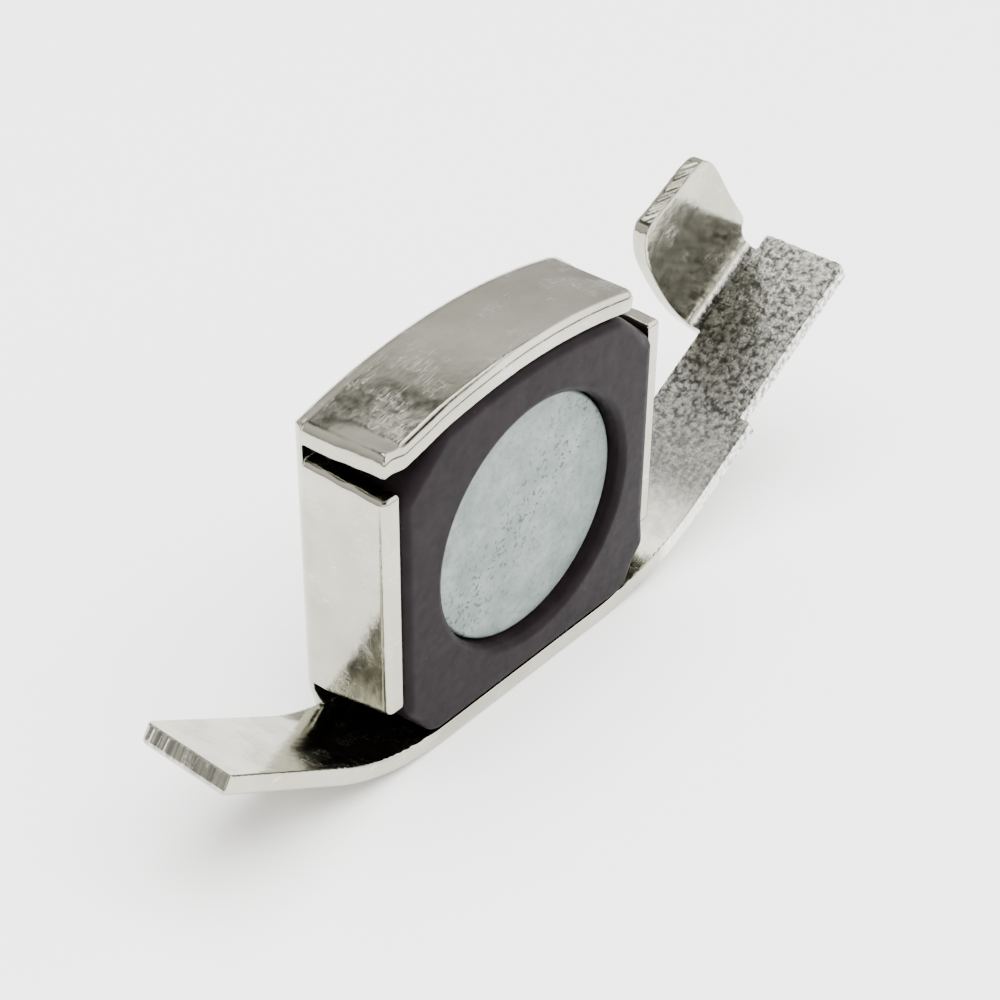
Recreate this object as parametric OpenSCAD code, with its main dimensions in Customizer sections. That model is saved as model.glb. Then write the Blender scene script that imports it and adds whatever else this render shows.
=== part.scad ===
// Handheld security tag detacher.
// One folded sheet-steel bracket makes the cup, the strap under it, the raised tail, the raised arm and the
// finger that stands up from the arm. The cup holds a moulded holder with a disc magnet in its round seat.
// The origin is under the middle of the cup, on the strap's flat underside. X runs along the strap towards
// the arm, Y runs from the open front of the cup to the back plate, and Z is up.

/* [Sheet steel] */
// Thickness of the sheet
sheet_t = 1.6; // [1.4:0.1:1.8]
// Inner radius of the cup's folds
fold_r = 0.3; // [0.2:0.05:0.5]
// Rounding that blanking leaves along the outer side of an edge
edge_r = 0.6; // [0.3:0.1:0.8]

/* [Cup] */
// Width over the two side flanges
cup_w = 31.35; // [31:0.05:32]
// Depth from the strap's front edge to the back plate's rear face
cup_d = 9.45; // [9:0.05:10]
// Radius of the arched top flange's outer face
arch_r = 51.2; // [48:0.1:56]
// Height of the arch's crown above the strap's underside
crown_h = 30.36; // [30:0.02:30.8]
// How far the left flange's front edge stands back from the strap's
left_setback = 0.2; // [0:0.1:0.6]
// How far the right flange's front edge stands back from the strap's
right_setback = 0.9; // [0.4:0.1:1.4]
// How far the top flange's front edge stands back from the strap's
top_setback = 0.1; // [0:0.1:0.6]
// Height of the side flanges' top ends
side_top = 24.95; // [24:0.05:25.2]
// Height of the side flanges' bottom ends at the front
side_bottom = 5.8; // [5.2:0.1:6.4]
// How much lower a side flange's bottom end runs at the back
side_slope = 1.1; // [0:0.1:1.4]
// Angle from the crown to the top flange's right end
arch_end = 13.1; // [12:0.1:14]
// Height where the back plate's cut corner meets the right side
corner_top = 25.4; // [25.3:0.1:26]

/* [Strap] */
// Distance from the origin to the vertex where the tail is bent up
tail_x = 16; // [15.6:0.1:16.4]
// Angle of the tail above the strap
tail_angle = 32.7; // [30:0.1:34]
// Bend radius of the tail, on the underside
tail_r = 20.6; // [18:0.1:21]
// Length of the tail from its vertex
tail_l = 19; // [16:0.5:24]
// Distance from the origin to the vertex where the arm is bent up
arm_x = 15.5; // [15.3:0.1:16]
// Angle of the arm above the strap
arm_angle = 31.1; // [30:0.1:33]
// Bend radius of the arm, on the underside
arm_r = 27; // [24:0.5:28]
// Length of the arm from its vertex
arm_l = 31.45; // [31.4:0.05:34]
// Where the arm's front edge steps back, measured from the vertex
step_s = 15.2; // [14:0.1:17]
// Depth of that step
step_d = 1.05; // [0.5:0.05:1.5]
// How far the tail's rear edge stands in front of the back plate's rear face
tail_setback = 1.15; // [0.6:0.05:1.4]
// How far the arm's rear edge stands in front of the back plate's rear face
arm_setback = 0.5; // [0.2:0.05:0.6]

/* [Finger] */
// Inner radius of the fold between arm and finger
finger_fold_r = 0.9; // [0.6:0.1:1.2]
// How far the finger's front face stands behind the back plate's rear face
finger_offset = 0.45; // [0.4:0.05:1]

/* [Magnet holder] */
// Gap between the holder and the flanges
holder_gap = 0.05; // [0.02:0.01:0.1]
// Radius along the holder's rear edges, which clears the cup's inner folds
holder_back_r = 0.5; // [0.4:0.1:0.8]
// Radius along the holder's front edges
holder_edge_r = 0.9; // [0.6:0.1:1.2]
// Width cut off the holder's corners
corner_cut = 3; // [2:0.1:3.4]
// Radius of the round seat
seat_r = 10.15; // [10.1:0.05:10.3]
// Width of the chamfer round the mouth of the seat
mouth_chamfer = 0.4; // [0.2:0.1:0.8]
// How far the seat's axis lies to the arm's side of the cup's middle
seat_x = 0.24; // [0:0.04:0.4]
// Height of the seat's axis above the strap's underside
seat_z = 14.56; // [14:0.02:15]

/* [Magnet] */
// Diameter of the disc magnet
magnet_dia = 20; // [19.8:0.1:20]
// Thickness of the disc magnet
magnet_t = 6.4; // [6:0.1:6.6]
// Thickness of the adhesive films behind the holder and the magnet
glue_t = 0.2; // [0.1:0.05:0.3]

/* [Hidden] */
$fn = 96;

front_y = -cup_d / 2;
rear_y = cup_d / 2;
plate_y = rear_y - sheet_t;
half_w = cup_w / 2;
arch_z = crown_h - arch_r;
outer_fold_r = fold_r + sheet_t;
fold_start_y = plate_y - 0.45;
far = 80;
past = 0.5;

// The back plate's lower corners, where it meets the strap
foot_x = 14.5;
foot_z = 1.9;
cheek_z = 4.56;

tail_corner_r = 0.8;
bend_kink = 1.5;

// The arch's outer corner at the top flange's right end
arch_end_x = arch_r * sin(arch_end);
arch_end_z = arch_z + arch_r * cos(arch_end);

// Outline of the finger: along the arm from its vertex, and out from the arm's underside
finger_outline = [
    [20.9, 1.1], [20.35, 3.4], [19.9, 6.2], [19.7, 9.5], [19.75, 12.7], [20.2, 14.2], [20.8, 15.3],
    [21.7, 15.8], [23, 15.5], [25.7, 15.3], [27.6, 15.2], [29.2, 14.8], [29.9, 13.5], [30.1, 12],
    [30.25, 8.1], [30.7, 4.4], [29.9, 3.7], [29.75, 1.1]
];
finger_h = 20;
finger_fold_y = rear_y + finger_offset - finger_fold_r;

// Holder
holder_x = half_w - sheet_t - holder_gap;
holder_z = sheet_t + 0.08;
holder_front_y = front_y + 0.04;
holder_back_y = plate_y - glue_t;
holder_arch_r = arch_r - sheet_t - holder_gap;
magnet_edge = 0.25;

// What a rounded corner loses: the corner is at the origin, with its material towards -X and -Y
module round_off(r) {
    difference() {
        translate([-r, -r])
            square(2 * r);
        translate([-r, -r])
            circle(r);
    }
}

// A slab's section, seen along its face: it ends at x = reach, with its front and rear corners rounded
module slab_section(reach, y0, y1, r0, r1, depth) {
    difference() {
        translate([reach - depth, y0])
            square([depth, y1 - y0]);
        if (r0 > 0)
            translate([reach, y0])
                mirror([0, 1])
                    round_off(r0);
        if (r1 > 0)
            translate([reach, y1])
                round_off(r1);
    }
}

// Half-space that faces angle in the XZ plane, at a distance, with rounded front and rear edges
module slab(angle, reach, y0, y1, r0, r1) {
    rotate([0, -angle, 0])
        translate([0, 0, -far / 2])
            linear_extrude(far)
                slab_section(reach, y0, y1, r0, r1, 45);
}

// The arch: a drum about an axis along Y
module drum(radius, y0, y1, r0, r1) {
    translate([0, 0, arch_z])
        rotate([-90, 0, 0])
            rotate_extrude($fn = 360)
                slab_section(radius, y0, y1, r0, r1, 40);
}

// The cup's form, open downwards: two upright sides under the arch
module cup_form(inset, y0, y1, r0, r1) {
    intersection() {
        slab(0, half_w - inset, y0, y1, r0, r1);
        slab(180, half_w - inset, y0, y1, r0, r1);
        drum(arch_r - inset, y0, y1, r0, r1);
    }
}

// The folded sheet of the cup, with its flanges' front edges at y0
module cup_shell(y0) {
    difference() {
        cup_form(0, y0, rear_y, edge_r, outer_fold_r);
        cup_form(sheet_t, front_y - past, plate_y, 0, fold_r);
    }
}

// A prism along Y over a flat drawn in XZ
module along_y(y0, y1) {
    translate([0, y1, 0])
        rotate([90, 0, 0])
            linear_extrude(y1 - y0)
                children();
}

// A section drawn in YZ, swept along X
module along_x(x0, x1) {
    translate([x0, 0, 0])
        rotate([90, 0, 90])
            linear_extrude(x1 - x0)
                children();
}

// The back plate. Its lower corners are cut towards the strap, and its top right corner from the top
// flange's end to the side.
module back_plate() {
    intersection() {
        cup_shell(front_y);
        along_y(fold_start_y, rear_y + past)
            polygon([
                [-foot_x, foot_z], [-foot_x, sheet_t / 2], [foot_x, sheet_t / 2], [foot_x, foot_z],
                [half_w, cheek_z], [half_w + past, cheek_z], [half_w + past, corner_top - past],
                [half_w, corner_top], [arch_end_x, arch_end_z], [0, crown_h + 3],
                [-half_w - past, crown_h + 3], [-half_w - past, cheek_z], [-half_w, cheek_z]
            ]);
    }
}

// The right flange; the left one is its mirror image
module side_flange(setback) {
    intersection() {
        cup_shell(front_y + setback);
        along_x(half_w - sheet_t - fold_r, half_w + past)
            polygon([
                [front_y - past, side_bottom], [fold_start_y + past, side_bottom - side_slope],
                [fold_start_y + past, side_top], [front_y - past, side_top]
            ]);
    }
}

// The arched top flange: its left end is flush with the side, its right end stops short
module top_flange() {
    intersection() {
        difference() {
            cup_form(0, front_y + top_setback, rear_y, edge_r, outer_fold_r);
            drum(arch_r - sheet_t, front_y - past, plate_y, 0, fold_r);
        }
        along_y(front_y - past, fold_start_y + past)
            polygon([
                [-half_w - past, side_top + 0.5], [0, side_top + 0.5],
                [arch_end_x - 5 * sin(arch_end), arch_end_z - 5 * cos(arch_end)],
                [arch_end_x + 2 * sin(arch_end), arch_end_z + 2 * cos(arch_end)],
                [0, crown_h + 3], [-half_w - past, crown_h + 3]
            ]);
    }
}

// What a rounded bend takes off the corner where level ground turns up by angle at x, drawn in XZ.
// The arc leaves the flats at a slight angle and not at a tangent, so that they cross cleanly.
module bend_cut(x, z, angle, r) {
    rise = r * cos(bend_kink);
    reach = rise * tan(angle / 2);
    start = [x - reach, z];
    end = [x + reach * cos(angle), z + reach * sin(angle)];
    difference() {
        polygon([start, start - [0, 1], [x, z - 2], end + [sin(angle), -cos(angle)], end]);
        translate(start + [0, rise])
            circle(r, $fn = 360);
    }
}

// Everything above one face of the strap, drawn in XZ: inset is the face's height in the sheet
module above_strap(inset) {
    tail_v = tail_x - inset * tan(tail_angle / 2);
    arm_v = arm_x - inset * tan(arm_angle / 2);
    difference() {
        polygon([
            [-tail_v - far * cos(tail_angle), inset + far * sin(tail_angle)], [-tail_v, inset],
            [arm_v, inset], [arm_v + far * cos(arm_angle), inset + far * sin(arm_angle)]
        ]);
        mirror([1, 0])
            bend_cut(tail_v, inset, tail_angle, tail_r - inset);
        bend_cut(arm_v, inset, arm_angle, arm_r - inset);
    }
}

// The strap's side view: tail, flat middle and arm
module strap_profile() {
    difference() {
        above_strap(0);
        above_strap(sheet_t);
        translate([-tail_x, 0])
            mirror([1, 0])
                rotate(tail_angle)
                    translate([tail_l, -5])
                        square([far, 10]);
        translate([arm_x, 0])
            rotate(arm_angle)
                translate([arm_l, -5])
                    square([far, 10]);
    }
}

// The tail's own frame: X out along it from its vertex, Z out of its upper face
module on_tail() {
    translate([-tail_x, 0, 0])
        rotate([0, tail_angle, 0])
            mirror([1, 0, 0])
                children();
}

// The arm's own frame, likewise
module on_arm() {
    translate([arm_x, 0, 0])
        rotate([0, -arm_angle, 0])
            children();
}

// The strap, cut to its widths along its length
module strap() {
    difference() {
        along_y(front_y, rear_y)
            strap_profile();
        translate([-foot_x - far, rear_y - tail_setback, -past])
            cube([far, tail_setback + past, far]);
        translate([foot_x, rear_y - arm_setback, -past])
            cube([far, arm_setback + past, far]);
        on_arm()
            translate([step_s, front_y - past, -past])
                cube([arm_l, past + step_d, sheet_t + 2 * past]);
        on_tail()
            translate([tail_l, rear_y - tail_setback, -past])
                linear_extrude(sheet_t + 2 * past)
                    round_off(tail_corner_r);
    }
}

// The finger folds up from the arm's rear edge
module finger() {
    on_arm()
        intersection() {
            along_x(0, arm_l)
                union() {
                    translate([rear_y - 2, 0])
                        square([finger_fold_y - rear_y + 2, sheet_t]);
                    intersection() {
                        translate([finger_fold_y, sheet_t + finger_fold_r])
                            difference() {
                                circle(finger_fold_r + sheet_t);
                                circle(finger_fold_r);
                            }
                        translate([finger_fold_y, 0])
                            square(sheet_t + finger_fold_r);
                    }
                    translate([rear_y + finger_offset, sheet_t + finger_fold_r])
                        square([sheet_t, finger_h]);
                }
            along_y(rear_y - 2, rear_y + 5)
                polygon(concat(finger_outline, [[29.75, -past], [20.9, -past]]));
        }
}

module steel_bracket() {
    color([0.78, 0.77, 0.72])
        difference() {
            union() {
                back_plate();
                side_flange(right_setback);
                mirror([1, 0, 0])
                    side_flange(left_setback);
                top_flange();
                strap();
                finger();
            }
            along_x(-foot_x - past, foot_x + past)
                translate([rear_y, 0])
                    mirror([0, 1])
                        round_off(outer_fold_r);
        }
}

// Flat that cuts one corner of the holder, square to a line at angle from the corner's own point
module corner_slab(angle, corner) {
    reach = corner[0] * cos(angle) + corner[1] * sin(angle) - corner_cut / sqrt(2);
    slab(angle, reach, holder_front_y, holder_back_y, holder_edge_r, holder_back_r);
}

// Outer form of the holder, with its front edges rounded
module holder_form() {
    shoulder_z = arch_z + sqrt(pow(holder_arch_r, 2) - pow(holder_x, 2));
    intersection() {
        slab(0, holder_x, holder_front_y, holder_back_y, holder_edge_r, holder_back_r);
        slab(180, holder_x, holder_front_y, holder_back_y, holder_edge_r, holder_back_r);
        slab(-90, -holder_z, holder_front_y, holder_back_y, edge_r / 2, holder_back_r);
        drum(holder_arch_r, holder_front_y, holder_back_y, holder_edge_r, holder_back_r);
        corner_slab(48, [holder_x, shoulder_z]);
        corner_slab(132, [-holder_x, shoulder_z]);
        corner_slab(-42, [holder_x, holder_z]);
        corner_slab(-138, [-holder_x, holder_z]);
    }
}

module magnet_holder() {
    color([0.29, 0.27, 0.28])
        difference() {
            holder_form();
            translate([seat_x, holder_front_y, seat_z])
                rotate([-90, 0, 0]) {
                    translate([0, 0, -past])
                        cylinder(h = cup_d, r = seat_r);
                    translate([0, 0, -past])
                        cylinder(h = past + mouth_chamfer, r1 = seat_r + mouth_chamfer + past, r2 = seat_r);
                }
        }
}

// The magnet's rims are slightly rounded, as plated magnets are
module disc_magnet() {
    back = plate_y - glue_t;
    color([0.66, 0.71, 0.7])
        translate([seat_x, 0, seat_z])
            rotate([-90, 0, 0])
                rotate_extrude()
                    difference() {
                        translate([0, back - magnet_t])
                            square([magnet_dia / 2, magnet_t]);
                        translate([magnet_dia / 2, back - magnet_t])
                            mirror([0, 1])
                                round_off(magnet_edge);
                        translate([magnet_dia / 2, back])
                            round_off(magnet_edge);
                    }
}

module magnet_adhesive() {
    color([0.85, 0.8, 0.6])
        translate([seat_x, plate_y - glue_t, seat_z])
            rotate([-90, 0, 0])
                cylinder(h = glue_t, r = magnet_dia / 2 - 1);
}

// The film under the holder keeps clear of the seat and of the cup's folds
module holder_adhesive() {
    film_x = holder_x - 1;
    color([0.85, 0.8, 0.6])
        difference() {
            translate([-film_x, plate_y - glue_t, holder_z + 3])
                cube([2 * film_x, glue_t, side_top - holder_z - 3]);
            translate([seat_x, plate_y - glue_t - past, seat_z])
                rotate([-90, 0, 0])
                    cylinder(h = glue_t + 2 * past, r = seat_r + 0.4);
        }
}

steel_bracket();
magnet_holder();
disc_magnet();
magnet_adhesive();
holder_adhesive();
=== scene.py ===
"""Looks for a hand-held security tag detacher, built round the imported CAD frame.

The bracket, the holder and the disc magnet are rebuilt as fine meshes from distance fields in millimetres, in
the CAD's own frame. Each field gives the rounded edges that blanking, folding and moulding leave.
"""

import math

import bpy
import numpy as np
from mathutils import Matrix, Vector


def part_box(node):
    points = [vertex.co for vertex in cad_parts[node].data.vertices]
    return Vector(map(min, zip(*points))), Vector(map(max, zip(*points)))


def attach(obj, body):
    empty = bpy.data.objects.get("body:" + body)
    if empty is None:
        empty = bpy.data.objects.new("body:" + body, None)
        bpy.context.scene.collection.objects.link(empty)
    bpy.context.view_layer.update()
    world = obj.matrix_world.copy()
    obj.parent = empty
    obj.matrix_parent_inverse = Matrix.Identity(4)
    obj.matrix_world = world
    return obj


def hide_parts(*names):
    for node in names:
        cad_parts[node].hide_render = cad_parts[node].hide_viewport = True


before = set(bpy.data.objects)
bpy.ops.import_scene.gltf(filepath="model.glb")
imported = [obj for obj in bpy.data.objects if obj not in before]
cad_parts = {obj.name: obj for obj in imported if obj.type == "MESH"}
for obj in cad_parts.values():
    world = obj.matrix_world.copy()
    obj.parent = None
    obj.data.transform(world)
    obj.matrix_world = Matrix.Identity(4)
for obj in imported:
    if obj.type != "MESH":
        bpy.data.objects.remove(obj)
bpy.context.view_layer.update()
MM = 0.001


def limits(node):
    """A CAD node's lowest and highest corners, in millimetres."""
    low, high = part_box(node)
    return np.array(low) / MM, np.array(high) / MM


bracket_low, bracket_high = limits("steel_bracket")
holder_low, holder_high = limits("magnet_holder")
magnet_low, magnet_high = limits("disc_magnet")

# ---------------------------------------------------------------- dimensions, in millimetres
# the sheet, the cup it folds into, and the arch across the cup's top
SHEET = 1.6
FRONT_Y = -4.725
REAR_Y = 4.725
PLATE_Y = REAR_Y - SHEET
HALF_W = 15.675
OUTER_FOLD = 1.9
INNER_FOLD = 0.3
ARCH_R = 51.2
ARCH_Z = bracket_high[2] - ARCH_R
ARCH_END = math.radians(13.1)
# how far each flange's front edge stands behind the cup's front, and where the side flanges start and stop
LEFT_SETBACK = 0.2
RIGHT_SETBACK = 0.9
TOP_SETBACK = 0.1
SIDE_TOP = 24.95
RIGHT_DROP = 0.35
SIDE_BOTTOM = 5.8
SIDE_SLOPE = 1.1
# the plate's foot and its cut top right corner
FOOT_X = 14.5
FOOT_Z = 1.9
CHEEK_Z = 4.56
CORNER_TOP = 25.4
# the strap's two raised ends, measured from where each underside would meet the base
TAIL = {"vertex": 16.0, "angle": math.radians(32.7), "radius": 20.6, "length": 19.0, "setback": 1.15}
ARM = {"vertex": 15.5, "angle": math.radians(31.1), "radius": 27.0, "length": 31.45, "setback": 0.5}
# past FREE_FROM an end stands clear of the plate; the arm narrows at STEP_AT
FREE_FROM = 13.5
STEP_AT = 15.2
STEP_IN = 1.05
# the finger, outlined as (along the arm, out from it)
FINGER_FOLD = 0.9
FINGER_FACE_Y = REAR_Y + 0.45
FINGER_OUTLINE = [
    (20.9, -1.0), (20.9, 1.1), (20.35, 3.4), (19.9, 6.2), (19.7, 9.5), (19.75, 12.7), (20.2, 14.2),
    (20.8, 15.3), (21.7, 15.8), (23, 15.5), (25.7, 15.3), (27.6, 15.2), (29.2, 14.8), (29.9, 13.5),
    (30.1, 12), (30.25, 8.1), (30.7, 4.4), (29.9, 3.7), (29.75, 1.1), (29.75, -1.0),
]
# the holder's edges, corners and seat
HOLDER_GAP = 0.05
HOLDER_EDGE = 0.9
BOTTOM_EDGE = 0.3
RIGHT_EDGE_EXTRA = 0.4
CORNER_CUT = 3.0
SEAT_R = 10.15
MOUTH = 0.4
# outside everything, for points a field doesn't reach
FAR = 99.0
# the grid the meshes are cut from
PITCH = 0.2
# the camera
CAMERA_AT = Vector((-103.05, -88.145, 115.04))
CAMERA_RIGHT = Vector((0.6496, -0.7602, 0.0095))
CAMERA_VIEW = Vector((0.6143, 0.5175, -0.5957))
CAMERA_LENS = 81.97
# the studio, in metres and watts except where the name says otherwise
FLOOR_REACH = 3.0
FLOOR_DROP_MM = 0.05
LAMP_AT = Vector((0.0, -0.1, 1.0))
LAMP_AIM = Vector((0, 0, 0.015))
LAMP_SIZE = 1.2
LAMP_POWER = 44.0


# ---------------------------------------------------------------- distance fields
def both(a, b, r=0.0):
    """Where a and b are both inside, with the edge between them rounded to r."""
    a, b = a + r, b + r
    return np.minimum(np.maximum(a, b), 0) + np.hypot(np.maximum(a, 0), np.maximum(b, 0)) - r


def sheet(outline, face, depth, outer, inner):
    """Sheet metal: outline and face are distances, depth runs from the outer face to the inner one."""
    return both(outline, face, np.where(depth < SHEET / 2, outer, inner))


def smooth(edge0, edge1, v):
    """An eased step from 0 at edge0 to 1 at edge1."""
    t = np.clip((v - edge0) / (edge1 - edge0), 0, 1)
    return t * t * (3 - 2 * t)


def waves(v, seed, pitch):
    """A repeatable irregular wave of about that pitch, mostly within -1 to 1."""
    rng = np.random.default_rng(seed)
    count = 5
    total = np.zeros_like(v)
    for _ in range(count):
        total += np.sin(v * 2 * math.pi / (pitch * rng.uniform(0.7, 1.6)) + rng.uniform(0, 2 * math.pi))
    return total / count * 1.4


def polygon_distance(px, py, points):
    """Signed distance to a closed outline, negative inside."""
    best = np.full(px.shape, 1e9)
    inside = np.zeros(px.shape, bool)
    for (ax, ay), (bx, by) in zip(points, points[1:] + points[:1]):
        ex, ey = bx - ax, by - ay
        wx, wy = px - ax, py - ay
        t = np.clip((wx * ex + wy * ey) / (ex * ex + ey * ey), 0, 1)
        best = np.minimum(best, (wx - ex * t) ** 2 + (wy - ey * t) ** 2)
        if ay != by:
            cross = (ay > py) != (by > py)
            inside ^= cross & (px < (bx - ax) * (py - ay) / (by - ay) + ax)
    return np.where(inside, -1, 1) * np.sqrt(best)


def rounded_outline(points, times=2):
    """Chaikin's corner cutting."""
    for _ in range(times):
        cut = []
        for (ax, ay), (bx, by) in zip(points, points[1:] + points[:1]):
            cut.append((0.8 * ax + 0.2 * bx, 0.8 * ay + 0.2 * by))
            cut.append((0.2 * ax + 0.8 * bx, 0.2 * ay + 0.8 * by))
        points = cut
    return points


FINGER_SHAPE = rounded_outline(FINGER_OUTLINE)


def strap_side(x, z, bend):
    """Distance out from one side's underside, and length along its straight part from the vertex."""
    sin, cos = math.sin(bend["angle"]), math.cos(bend["angle"])
    centre = bend["vertex"] - bend["radius"] * math.tan(bend["angle"] / 2)
    along = (x - bend["vertex"]) * cos + z * sin
    straight = -(x - bend["vertex"]) * sin + z * cos
    turn = np.arctan2(x - centre, bend["radius"] - z)
    bent = bend["radius"] - np.hypot(x - centre, z - bend["radius"])
    out = np.where(turn < 0, z, np.where(turn > bend["angle"], straight, bent))
    return out, along


def strap_field(x, y, z):
    """The strap, its raised tail and its raised arm."""
    right = x > 0
    arm_out, arm_s = strap_side(x, z, ARM)
    tail_out, tail_s = strap_side(-x, z, TAIL)
    out = np.where(right, arm_out, tail_out)
    front = FRONT_Y - y
    front_arm = np.maximum(front, np.minimum(FRONT_Y + STEP_IN - y, arm_s - STEP_AT))
    front = np.where(right, front_arm, front)
    # the middle folds up into the back plate; the ends stand free
    fold_out = both(-out, y - REAR_Y, OUTER_FOLD)
    fold_in = both(SHEET - out, y - PLATE_Y, INNER_FOLD)
    middle = np.maximum(fold_out, -fold_in)
    middle = sheet(np.maximum(front, np.maximum(np.abs(x) - FOOT_X, z - 3.2)), middle, -fold_out, 0.55, 0.12)
    tail_rear = y - (REAR_Y - TAIL["setback"])
    shear = smooth(-4.3, -3.6, y) * 0.055 * waves(y + 0.15 * out, 5, 0.62)
    shear = shear + 0.05 * waves(y, 8, 2.6)
    tail_end = tail_s - TAIL["length"] + 0.06 + shear * smooth(0.1, 0.35, out)
    tail_plan = both(tail_end, tail_rear, 0.7)
    tail_plan = both(tail_plan, front, 0.25)
    tail_plan = np.maximum(tail_plan, x + FREE_FROM)
    arm_rear = y - (REAR_Y - ARM["setback"])
    arm_end = arm_s - ARM["length"] + 0.03 + 0.035 * waves(y + 0.2 * out, 11, 0.9)
    arm_plan = both(arm_end, arm_rear, 0.35)
    arm_plan = both(arm_plan, front, 0.5)
    arm_plan = np.maximum(arm_plan, FREE_FROM - x)
    ends = np.where(right, arm_plan, tail_plan)
    faces = np.maximum(-out, out - SHEET)
    return np.minimum(middle, sheet(ends, faces, out, np.where(right, 0.3, 0.5), 0.12))


def finger_field(x, y, z):
    """The finger folded up from the arm's rear edge."""
    sin, cos = math.sin(ARM["angle"]), math.cos(ARM["angle"])
    s = (x - ARM["vertex"]) * cos + z * sin
    n = -(x - ARM["vertex"]) * sin + z * cos
    fold_out = both(y - FINGER_FACE_Y - SHEET, -n, FINGER_FOLD + SHEET)
    fold_in = both(y - FINGER_FACE_Y, SHEET - n, FINGER_FOLD)
    face = np.maximum(fold_out, -fold_in)
    outline = polygon_distance(s, n, FINGER_SHAPE)
    outline = outline + 0.03 * waves(y * 1.3 + s, 21, 0.8) * smooth(14.5, 15.5, n)
    return np.maximum(sheet(outline, face, -fold_out, 0.5, 0.14), REAR_Y - 1.8 - y)


def flare(x, y):
    """How the top flange's front edge strayed from a true arch when it was folded."""
    wave = 0.62 * smooth(-13.4, -15.5, x) - 0.12 * smooth(-9, -12, x) * smooth(-15, -13, x)
    return (wave + 0.1 * smooth(-7, 0, x)) * smooth(2.2, FRONT_Y, y)


def cup_field(x, y, z):
    """The back plate and its three flanges."""
    side = np.abs(x) - HALF_W
    arch = np.hypot(x, z - ARCH_Z) - ARCH_R
    # back plate, with its rounded outer folds
    wall = both(both(side, arch, 0.4), y - REAR_Y, OUTER_FOLD)
    cheek_run = math.hypot(HALF_W - FOOT_X, CHEEK_Z - FOOT_Z)
    cheek = ((np.abs(x) - FOOT_X) * (CHEEK_Z - FOOT_Z) - (z - FOOT_Z) * (HALF_W - FOOT_X)) / cheek_run
    end_x, end_z = ARCH_R * math.sin(ARCH_END), ARCH_Z + ARCH_R * math.cos(ARCH_END)
    cut_x, cut_z = HALF_W - end_x, end_z - CORNER_TOP
    cut = ((x - end_x) * cut_z + (z - end_z) * cut_x) / math.hypot(cut_x, cut_z)
    region = both(np.maximum(cheek, 1.2 - z), cut, 0.3)
    plate = sheet(region, np.maximum(wall, PLATE_Y - y), -wall, 0.5, 0.12)
    plate = np.maximum(plate, PLATE_Y - 0.45 - y)
    # side flanges
    fold_out = both(side, y - REAR_Y, OUTER_FOLD)
    fold_in = both(side + SHEET, y - PLATE_Y, INNER_FOLD)
    face = np.maximum(fold_out, -fold_in)
    setback = np.where(x > 0, RIGHT_SETBACK, LEFT_SETBACK)
    back = smooth(FRONT_Y, PLATE_Y - 0.4, y)
    floor = (SIDE_BOTTOM - SIDE_SLOPE * back) - z + 0.04 * waves(y, 31, 3.0)
    top = z - np.where(x > 0, SIDE_TOP - RIGHT_DROP, SIDE_TOP) + 0.04 * waves(y, 33, 2.2)
    front = FRONT_Y + setback - y
    ends = both(both(top, front, 0.45), floor, 0.6)
    flanges = sheet(ends, face, -fold_out, 0.65, 0.2)
    flanges = np.maximum(flanges, np.maximum(HALF_W - 3 - np.abs(x), y - PLATE_Y - 0.1))
    # top flange
    rise = z - flare(x, y)
    arch = np.hypot(x, rise - ARCH_Z) - ARCH_R
    fold_out = both(arch, y - REAR_Y, OUTER_FOLD)
    fold_in = both(arch + SHEET, y - PLATE_Y, INNER_FOLD)
    face = np.maximum(fold_out, -fold_in)
    left = -HALF_W - x + 0.02 * waves(y, 41, 2.4)
    right = x * math.cos(ARCH_END) - (rise - ARCH_Z) * math.sin(ARCH_END)
    front = FRONT_Y + TOP_SETBACK - y
    ends = both(both(left, front, 0.3), both(right, front, 1.1))
    roof = sheet(ends, face, -fold_out, 0.75, 0.28)
    roof = np.maximum(roof, np.maximum(22 - z, y - PLATE_Y - 0.1))
    return np.minimum(np.minimum(plate, flanges), roof)


def bracket_field(p):
    """The whole folded bracket."""
    x, y, z = p[..., 0], p[..., 1], p[..., 2]
    body = np.minimum(cup_field(x, y, z), strap_field(x, y, z))
    finger = np.full(x.shape, FAR)
    near = (x > 20) & (y > REAR_Y - 3)
    if near.any():
        finger[near] = finger_field(x[near], y[near], z[near])
    return np.minimum(body, finger)


seat_x, seat_z = (magnet_low[0] + magnet_high[0]) / 2, (magnet_low[2] + magnet_high[2]) / 2


def holder_field(p):
    """The moulded block with its round seat."""
    x, y, z = p[..., 0], p[..., 1], p[..., 2]
    half = holder_high[0]
    bottom = holder_low[2]
    radius = ARCH_R - SHEET - HOLDER_GAP
    shoulder = ARCH_Z + math.sqrt(radius**2 - half**2)
    plan = both(np.abs(x) - half, np.hypot(x, z - ARCH_Z) - radius, 0.2)
    plan = both(plan, bottom - z, 0.2)
    corners = ((half, shoulder, 48), (-half, shoulder, 132), (half, bottom, -42), (-half, bottom, -138))
    for corner_x, corner_z, degrees in corners:
        cos, sin = math.cos(math.radians(degrees)), math.sin(math.radians(degrees))
        reach = corner_x * cos + corner_z * sin - CORNER_CUT / math.sqrt(2)
        plan = both(plan, x * cos + z * sin - reach, 0.7)
    front = holder_low[1] - y
    edge = BOTTOM_EDGE + (HOLDER_EDGE - BOTTOM_EDGE) * smooth(bottom + 0.4, bottom + 2.2, z)
    edge = edge + RIGHT_EDGE_EXTRA * smooth(half - 3, half - 1, x) * smooth(bottom + 3, bottom + 6, z)
    body = both(both(plan, front, edge), y - holder_high[1], 0.5)
    from_axis = np.hypot(x - seat_x, z - seat_z)
    body = both(body, SEAT_R - from_axis, 0.12)
    mouth = (SEAT_R + MOUTH - from_axis - (y - holder_low[1])) / math.sqrt(2)
    return both(body, mouth, 0.15)


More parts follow.
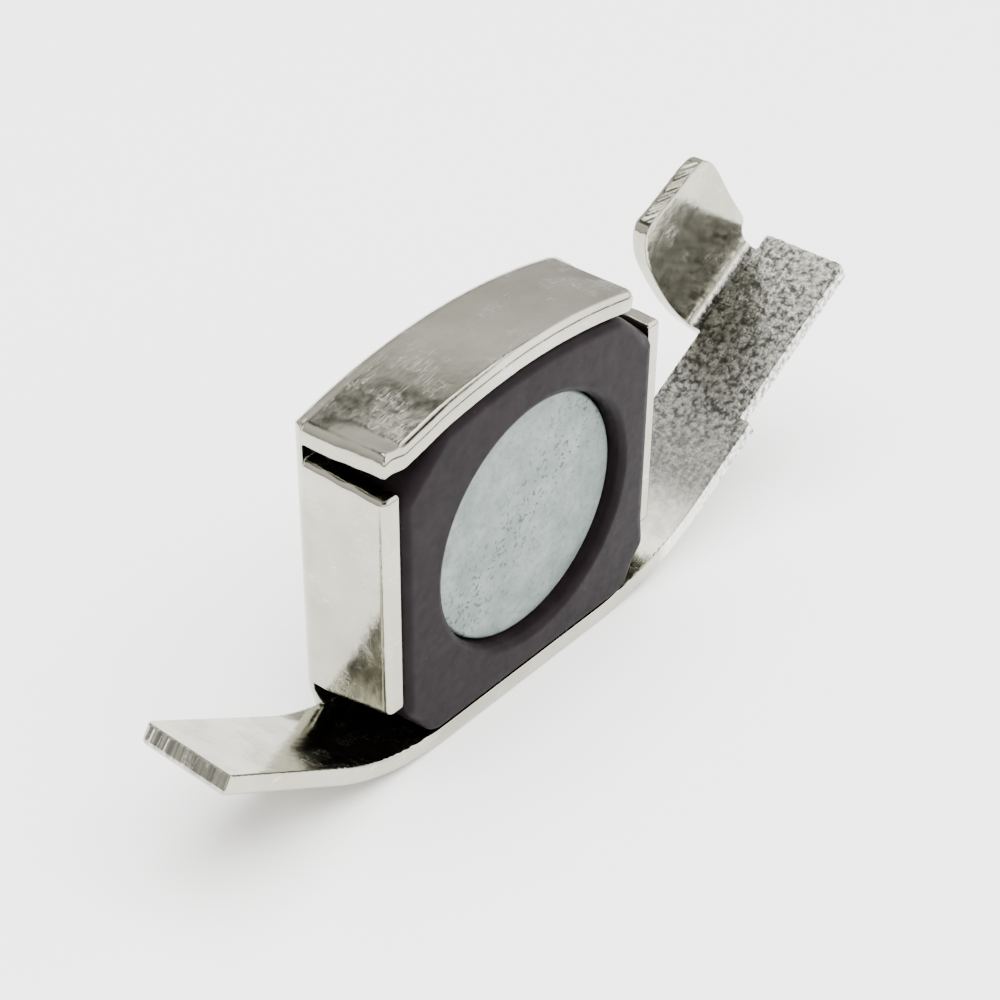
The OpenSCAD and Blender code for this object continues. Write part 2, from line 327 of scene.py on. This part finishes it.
def magnet_field(p):
    """The disc, with small chips round its front rim."""
    x, y, z = p[..., 0], p[..., 1], p[..., 2]
    from_axis = np.hypot(x - seat_x, z - seat_z)
    radius = (magnet_high[0] - magnet_low[0]) / 2
    angle = np.arctan2(z - seat_z, x - seat_x)
    chips = 0.12 * np.maximum(waves(angle * radius, 51, 1.7) - 0.75, 0)
    chips = chips * smooth(radius - 1.2, radius, from_axis)
    return both(both(from_axis - radius, magnet_low[1] - y + chips, 0.28), y - magnet_high[1], 0.25)


# ---------------------------------------------------------------- meshes from the fields
def surface_nets(field, low, high, pitch):
    """Vertices and quads of a field's zero surface, on a grid."""
    sizes = [int(math.ceil((h - l) / pitch)) + 1 for l, h in zip(low, high)]
    axes = [l + pitch * np.arange(n) for l, n in zip(low, sizes)]
    values = np.empty(sizes, np.float32)
    slab = 24
    for i in range(0, sizes[0], slab):
        grid = np.stack(np.meshgrid(axes[0][i : i + slab], axes[1], axes[2], indexing="ij"), -1)
        values[i : i + slab] = field(grid)
    inside = values < 0
    cells = tuple(n - 1 for n in sizes)
    total = np.zeros(cells + (3,), np.float32)
    count = np.zeros(cells, np.int16)
    crossings = []
    for axis in range(3):
        lower = [slice(None)] * 3
        upper = [slice(None)] * 3
        lower[axis], upper[axis] = slice(None, -1), slice(1, None)
        lower, upper = tuple(lower), tuple(upper)
        hit = inside[lower] != inside[upper]
        at = np.argwhere(hit)
        a, b = values[lower][hit], values[upper][hit]
        share = a / (a - b)
        point = at.astype(np.float32)
        point[:, axis] += share
        others = [k for k in range(3) if k != axis]
        for du in (0, 1):
            for dv in (0, 1):
                cell = at.copy()
                cell[:, others[0]] -= du
                cell[:, others[1]] -= dv
                ok = ((cell >= 0) & (cell < np.array(cells))).all(1)
                index = tuple(cell[ok].T)
                np.add.at(total, index, point[ok])
                np.add.at(count, index, 1)
        crossings.append((axis, others, at, a < 0))
    used = count > 0
    number = np.full(cells, -1, np.int64)
    number[used] = np.arange(used.sum())
    verts = total[used] / count[used][:, None] * pitch + np.array(low)
    quads = []
    for axis, others, at, leaving in crossings:
        ok = (at[:, others[0]] > 0) & (at[:, others[1]] > 0)
        at, leaving = at[ok], leaving[ok]
        ring = []
        for du, dv in ((1, 1), (0, 1), (0, 0), (1, 0)):
            cell = at.copy()
            cell[:, others[0]] -= du
            cell[:, others[1]] -= dv
            ring.append(number[tuple(cell.T)])
        quad = np.stack(ring, 1)
        flip = leaving if axis != 1 else ~leaving
        quad[~flip] = quad[~flip][:, ::-1]
        quads.append(quad)
    return verts.astype(float), np.vstack(quads)


def gradient(field, points):
    """The field's slope at points, by central differences."""
    h = 0.015
    steps = np.eye(3) * h
    return np.stack([(field(points + s) - field(points - s)) / (2 * h) for s in steps], -1)


def settle(field, points, rounds):
    """Moves points onto the field's surface, and gives the surface's normals there."""
    most = 0.12
    points = points.copy()
    for _ in range(rounds):
        slope = gradient(field, points)
        move = field(points)[:, None] * slope / np.maximum((slope**2).sum(1, keepdims=True), 0.25)
        length = np.linalg.norm(move, axis=1, keepdims=True)
        points -= move * np.minimum(1, most / np.maximum(length, 1e-9))
    slope = gradient(field, points)
    return points, slope / np.maximum(np.linalg.norm(slope, axis=1, keepdims=True), 1e-9)


def coordinates(mesh):
    """A mesh's vertices as an array."""
    points = np.empty(len(mesh.vertices) * 3)
    mesh.vertices.foreach_get("co", points)
    return points.reshape(-1, 3)


def carve(name, field, low, high, share):
    """A fine mesh of a field, thinned to that share of its faces, with the field's own normals."""
    margin = 2.2 * PITCH
    verts, quads = surface_nets(field, low - margin, high + margin, PITCH)
    verts, _ = settle(field, verts, 2)
    mesh = bpy.data.meshes.new(name)
    mesh.from_pydata(verts.tolist(), [], quads.tolist())
    piece = bpy.data.objects.new(name, mesh)
    bpy.context.scene.collection.objects.link(piece)
    thin = piece.modifiers.new("thin", "DECIMATE")
    thin.ratio = share
    graph = bpy.context.evaluated_depsgraph_get()
    slim = bpy.data.meshes.new_from_object(piece.evaluated_get(graph))
    piece.modifiers.clear()
    piece.data = slim
    slim.name = name
    points, normals = settle(field, coordinates(slim), 3)
    points = np.clip(points, low, high)
    slim.vertices.foreach_set("co", (points * MM).ravel())
    slim.update()
    slim.shade_smooth()
    slim.normals_split_custom_set_from_vertices(normals.tolist())
    return piece


# ---------------------------------------------------------------- materials
def new_material(name):
    """A material with its node tree and its shader."""
    material = bpy.data.materials.new(name)
    material.use_nodes = True
    tree = material.node_tree
    shader = tree.nodes["Principled BSDF"]
    return material, tree, shader


def node(tree, kind, inputs=None, **settings):
    """A new node; inputs are sockets to link or constants to set."""
    made = tree.nodes.new(kind)
    for key, value in settings.items():
        setattr(made, key, value)
    for key, value in (inputs or {}).items():
        if isinstance(value, bpy.types.NodeSocket):
            tree.links.new(value, made.inputs[key])
        else:
            made.inputs[key].default_value = value
    return made


def position(tree):
    """The point on the surface in the row frame, in millimetres."""
    source = node(tree, "ShaderNodeTexCoord")
    scaled = node(tree, "ShaderNodeVectorMath", {0: source.outputs["Object"]}, operation="SCALE")
    scaled.inputs["Scale"].default_value = 1 / MM
    return scaled.outputs[0]


def noise(tree, where, scale, detail, rough=0.55, stretch=None, twist=None):
    """Noise of that many features per millimetre, drawn out by stretch and turned by twist."""
    if stretch:
        where = node(tree, "ShaderNodeMapping", {"Vector": where, "Scale": stretch}).outputs[0]
        if twist:
            tree.nodes[-1].inputs["Rotation"].default_value = twist
    inputs = {"Vector": where, "Scale": scale, "Detail": detail, "Roughness": rough}
    return node(tree, "ShaderNodeTexNoise", inputs).outputs["Fac"]


def remap(tree, value, low, high, to_low=0.0, to_high=1.0):
    """Value carried from one range to another, and held at its ends."""
    inputs = {"Value": value, "From Min": low, "From Max": high, "To Min": to_low, "To Max": to_high}
    return node(tree, "ShaderNodeMapRange", inputs).outputs[0]


def mix(tree, share, a, b):
    """Colour a shading into colour b by share."""
    return node(tree, "ShaderNodeMix", {0: share, 6: a, 7: b}, data_type="RGBA").outputs[2]


def maths(tree, operation, a, b=0.0):
    """One step of arithmetic."""
    return node(tree, "ShaderNodeMath", {0: a, 1: b}, operation=operation).outputs[0]


def bump(tree, shader, layers):
    """Stacks heights as bumps: layers are (height, distance in millimetres, strength)."""
    normal = None
    for height, distance, strength in layers:
        inputs = {"Height": height, "Strength": strength, "Distance": distance * MM}
        made = node(tree, "ShaderNodeBump", inputs)
        if normal is not None:
            tree.links.new(normal, made.inputs["Normal"])
        normal = made.outputs[0]
    tree.links.new(normal, shader.inputs["Normal"])


def scratches(tree, where, stretch, twist, scale, thin):
    """Sparse fine lines: a noise drawn out along one direction, kept near one level."""
    value = noise(tree, where, scale, 2.0, 0.5, stretch, twist)
    off = maths(tree, "ABSOLUTE", maths(tree, "SUBTRACT", value, 0.5))
    line = remap(tree, off, 0.0, thin, 1.0, 0.0)
    gate = remap(tree, noise(tree, where, 0.35, 2.0), 0.5, 0.62)
    return maths(tree, "MULTIPLY", line, gate)


def nickel():
    """Nickel plate on blanked sheet: mirror-like and scuffed, with a painted bright reflection on the arm
    beside the block, grainy along the arm.
    """
    material, tree, shader = new_material("nickel_plate")
    shader.inputs["Metallic"].default_value = 1.0
    where = position(tree)
    x, y, z = node(tree, "ShaderNodeSeparateXYZ", {0: where}).outputs
    cloud = noise(tree, where, 0.16, 4)
    fine = noise(tree, where, 1.3, 6, 0.6)
    grain = noise(tree, where, 1.9, 4, 0.65)
    # the arm, but not the finger behind it
    on_arm = maths(tree, "MULTIPLY", remap(tree, x, 15.8, 17), remap(tree, y, 5.1, 4.8))
    scrape = maths(
        tree, "MAXIMUM",
        scratches(tree, where, (0.1, 3.2, 1.0), (0, 0, 0.5), 2.0, 0.014),
        scratches(tree, where, (3.0, 0.12, 1.6), (0, 0.3, -0.35), 1.5, 0.01),
    )
    pits = remap(tree, noise(tree, where, 3.1, 1.0), 0.76, 0.82)
    plain = mix(tree, remap(tree, cloud, 0.35, 0.65), (0.365, 0.36, 0.292, 1), (0.465, 0.46, 0.39, 1))
    # painted reflection: beside the block the arm's base colour is painted bright, fading along the arm into
    # a dark and light grain mottle
    painted_bright_reflection = mix(tree, remap(tree, grain, 0.35, 0.65), (0.78, 0.78, 0.73, 1), (0.96, 0.96, 0.92, 1))
    grain_mottle = mix(tree, remap(tree, grain, 0.4, 0.6), (0.13, 0.13, 0.11, 1), (0.84, 0.84, 0.79, 1))
    arm_painted_reflection_and_grain = mix(tree, remap(tree, x, 18, 27), painted_bright_reflection, grain_mottle)
    colour = mix(tree, on_arm, plain, arm_painted_reflection_and_grain)
    colour = mix(tree, maths(tree, "MULTIPLY", scrape, 0.45), colour, (0.9, 0.9, 0.86, 1))
    colour = mix(tree, maths(tree, "MULTIPLY", pits, 0.6), colour, (0.12, 0.11, 0.1, 1))
    # shear marks on the tail's end face
    shear = remap(tree, noise(tree, where, 1.0, 1.0, 0.5, (0.1, 2.2, 0.1)), 0.42, 0.58)
    cos, sin = math.cos(TAIL["angle"]), math.sin(TAIL["angle"])
    along = maths(tree, "SUBTRACT", maths(tree, "MULTIPLY", z, sin), maths(tree, "MULTIPLY", x, cos))
    tail_end = TAIL["vertex"] * cos + TAIL["length"]
    shear = maths(tree, "MULTIPLY", shear, remap(tree, along, tail_end - 0.25, tail_end - 0.1))
    colour = mix(tree, maths(tree, "MULTIPLY", shear, 0.75), colour, (0.16, 0.16, 0.14, 1))
    tree.links.new(colour, shader.inputs["Base Color"])
    rough = remap(tree, fine, 0.3, 0.75, 0.08, 0.2)
    rough = maths(tree, "ADD", rough, maths(tree, "MULTIPLY", scrape, 0.22))
    rough = maths(tree, "ADD", rough, maths(tree, "MULTIPLY", on_arm, remap(tree, x, 18, 22, 0.26, 0.1)))
    tree.links.new(rough, shader.inputs["Roughness"])
    grain_height = maths(tree, "MULTIPLY", grain, remap(tree, x, 17, 30, 0.08, 0.36))
    bump(tree, shader, [
        (cloud, 0.14, 0.5),
        (fine, 0.02, 0.5),
        (scrape, 0.006, 0.5),
        (maths(tree, "MULTIPLY", grain_height, on_arm), 0.09, 0.9),
    ])
    return material


def holder_plastic():
    """Satin aubergine-brown moulded plastic."""
    material, tree, shader = new_material("holder_plastic")
    where = position(tree)
    mottle = noise(tree, where, 0.5, 4)
    mottle = remap(tree, mottle, 0.35, 0.7)
    colour = mix(tree, mottle, (0.0055, 0.0038, 0.0047, 1), (0.0095, 0.0066, 0.0082, 1))
    dust = remap(tree, noise(tree, where, 4.0, 1.0), 0.79, 0.84)
    colour = mix(tree, maths(tree, "MULTIPLY", dust, 0.5), colour, (0.09, 0.075, 0.075, 1))
    tree.links.new(colour, shader.inputs["Base Color"])
    shader.inputs["Specular IOR Level"].default_value = 0.06
    rough = remap(tree, noise(tree, where, 1.5, 4), 0.3, 0.7, 0.36, 0.5)
    tree.links.new(rough, shader.inputs["Roughness"])
    bump(tree, shader, [(noise(tree, where, 0.3, 2), 0.12, 0.5), (noise(tree, where, 9.0, 3), 0.008, 0.5)])
    return material


def magnet_plating():
    """Matte zinc plate: soft clouding, and small dark specks gathered along a diagonal."""
    material, tree, shader = new_material("magnet_plating")
    where = position(tree)
    x, y, z = node(tree, "ShaderNodeSeparateXYZ", {0: where}).outputs
    cloud = noise(tree, where, 0.35, 5, 0.6)
    mottle = noise(tree, where, 1.9, 5, 0.65)
    colour = mix(tree, remap(tree, cloud, 0.35, 0.68), (0.125, 0.16, 0.153, 1), (0.21, 0.25, 0.24, 1))
    colour = mix(tree, remap(tree, mottle, 0.5, 0.75, 0, 0.5), colour, (0.09, 0.12, 0.116, 1))
    slant = maths(tree, "ADD", maths(tree, "MULTIPLY", x, 0.75), maths(tree, "SUBTRACT", seat_z, z))
    band = remap(tree, maths(tree, "ABSOLUTE", slant), 0.5, 5.5, 1, 0)
    specks = remap(tree, noise(tree, where, 2.4, 2.0, 0.6), 0.58, 0.63)
    specks = maths(tree, "MULTIPLY", specks, remap(tree, band, 0, 1, 0.25, 1.0))
    colour = mix(tree, maths(tree, "MULTIPLY", specks, 0.85), colour, (0.035, 0.05, 0.05, 1))
    tree.links.new(colour, shader.inputs["Base Color"])
    shader.inputs["Metallic"].default_value = 0.3
    tree.links.new(remap(tree, mottle, 0.3, 0.7, 0.42, 0.6), shader.inputs["Roughness"])
    bump(tree, shader, [(mottle, 0.03, 0.6), (specks, 0.05, 0.5)])
    return material


def adhesive():
    """Cured film, only seen with the holder or the magnet out."""
    material, tree, shader = new_material("adhesive")
    where = position(tree)
    cloud = remap(tree, noise(tree, where, 0.6, 4), 0.3, 0.7)
    colour = mix(tree, cloud, (0.46, 0.38, 0.2, 1), (0.62, 0.55, 0.36, 1))
    tree.links.new(colour, shader.inputs["Base Color"])
    rough = remap(tree, noise(tree, where, 2.0, 3), 0.3, 0.7, 0.3, 0.5)
    tree.links.new(rough, shader.inputs["Roughness"])
    return material


# ---------------------------------------------------------------- pieces
def finish_piece(piece, material, replaced):
    """Gives a piece its material and its body, and hides the CAD node it stands for."""
    piece.data.materials.clear()
    piece.data.materials.append(material)
    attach(piece, "root")
    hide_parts(replaced)


bracket = carve("bracket_sheet", bracket_field, bracket_low, bracket_high, 0.25)
finish_piece(bracket, nickel(), "steel_bracket")
holder = carve("holder_moulding", holder_field, holder_low, holder_high, 0.3)
finish_piece(holder, holder_plastic(), "magnet_holder")
magnet = carve("magnet_disc", magnet_field, magnet_low, magnet_high, 0.3)
finish_piece(magnet, magnet_plating(), "disc_magnet")
glue = adhesive()
for name in ("magnet_adhesive", "holder_adhesive"):
    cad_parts[name].data.materials.clear()
    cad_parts[name].data.materials.append(glue)

# ---------------------------------------------------------------- camera, floor and lights
camera_data = bpy.data.cameras.new("camera")
camera_data.lens = CAMERA_LENS
camera_data.sensor_width = 36
camera_data.clip_start = 0.005
camera = bpy.data.objects.new("camera", camera_data)
bpy.context.scene.collection.objects.link(camera)
back = -CAMERA_VIEW.normalized()
up = back.cross(CAMERA_RIGHT.normalized()).normalized()
right = up.cross(back)
turned = Matrix((right, up, back)).transposed().to_4x4()
camera.matrix_world = Matrix.Translation(CAMERA_AT * MM) @ turned
bpy.context.scene.camera = camera

floor_material, _, floor_shader = new_material("floor")
floor_shader.inputs["Base Color"].default_value = (0.92, 0.92, 0.92, 1)
floor_shader.inputs["Roughness"].default_value = 0.9
floor_mesh = bpy.data.meshes.new("floor")
floor_corners = [(i * FLOOR_REACH, j * FLOOR_REACH, 0) for i, j in ((-1, -1), (1, -1), (1, 1), (-1, 1))]
floor_mesh.from_pydata(floor_corners, [], [(0, 1, 2, 3)])
floor = bpy.data.objects.new("floor", floor_mesh)
floor.location.z = -FLOOR_DROP_MM * MM
floor_mesh.materials.append(floor_material)
bpy.context.scene.collection.objects.link(floor)

# the lamp lights the floor and the plastic; the metal mirrors only the floor and the room
lamp_data = bpy.data.lights.new("overhead", "AREA")
lamp_data.shape = "RECTANGLE"
lamp_data.size = LAMP_SIZE
lamp_data.size_y = LAMP_SIZE
lamp_data.energy = LAMP_POWER
lamp = bpy.data.objects.new("overhead", lamp_data)
bpy.context.scene.collection.objects.link(lamp)
lamp.location = LAMP_AT
lamp.rotation_euler = (LAMP_AIM - LAMP_AT).to_track_quat("-Z", "Y").to_euler()
lamp.visible_glossy = False

world = bpy.data.worlds.new("studio")
bpy.context.scene.world = world
world.use_nodes = True
sky = world.node_tree
background = sky.nodes["Background"]
direction = node(sky, "ShaderNodeTexCoord").outputs["Generated"]
parts = node(sky, "ShaderNodeSeparateXYZ", {0: direction}).outputs


def room(stops):
    """The room's brightness by height: stops are (sine of the elevation, level)."""
    ramp = node(sky, "ShaderNodeValToRGB", {0: parts[2]})
    elements = ramp.color_ramp.elements
    for at, _ in stops[1:-1]:
        elements.new(at)
    for element, (_, level) in zip(elements, stops):
        element.color = (level, level * 0.985, level * 0.95, 1)
    return ramp.outputs[0]


# in front: a bright ring, higher on the right; behind: a softer one, with a bright patch high on the right
LOW_BACK = [(0, 0.6), (0.1, 0.7), (0.24, 1.0), (0.64, 1.3), (0.7, 1.1), (0.77, 0.14)]
front_left = room([(0, 0.5), (0.1, 0.45), (0.24, 2.6), (0.5, 2.6), (0.62, 0.05), (1, 0.04)])
front_right = room([(0, 0.2), (0.1, 0.12), (0.24, 4.2), (0.8, 4.2), (0.9, 0.1), (1, 0.05)])
back_left = room(LOW_BACK + [(0.85, 0.15), (0.9, 0.8), (1, 0.6)])
back_right = room(LOW_BACK + [(0.82, 0.3), (0.86, 6.0), (1, 4.0)])
to_right = remap(sky, parts[0], -0.15, 0.15)
room_in_front = mix(sky, to_right, front_left, front_right)
room_behind = mix(sky, to_right, back_left, back_right)
to_back = remap(sky, parts[1], -0.1, 0.2)
sky.links.new(mix(sky, to_back, room_in_front, room_behind), background.inputs["Color"])
background.inputs["Strength"].default_value = 1.0
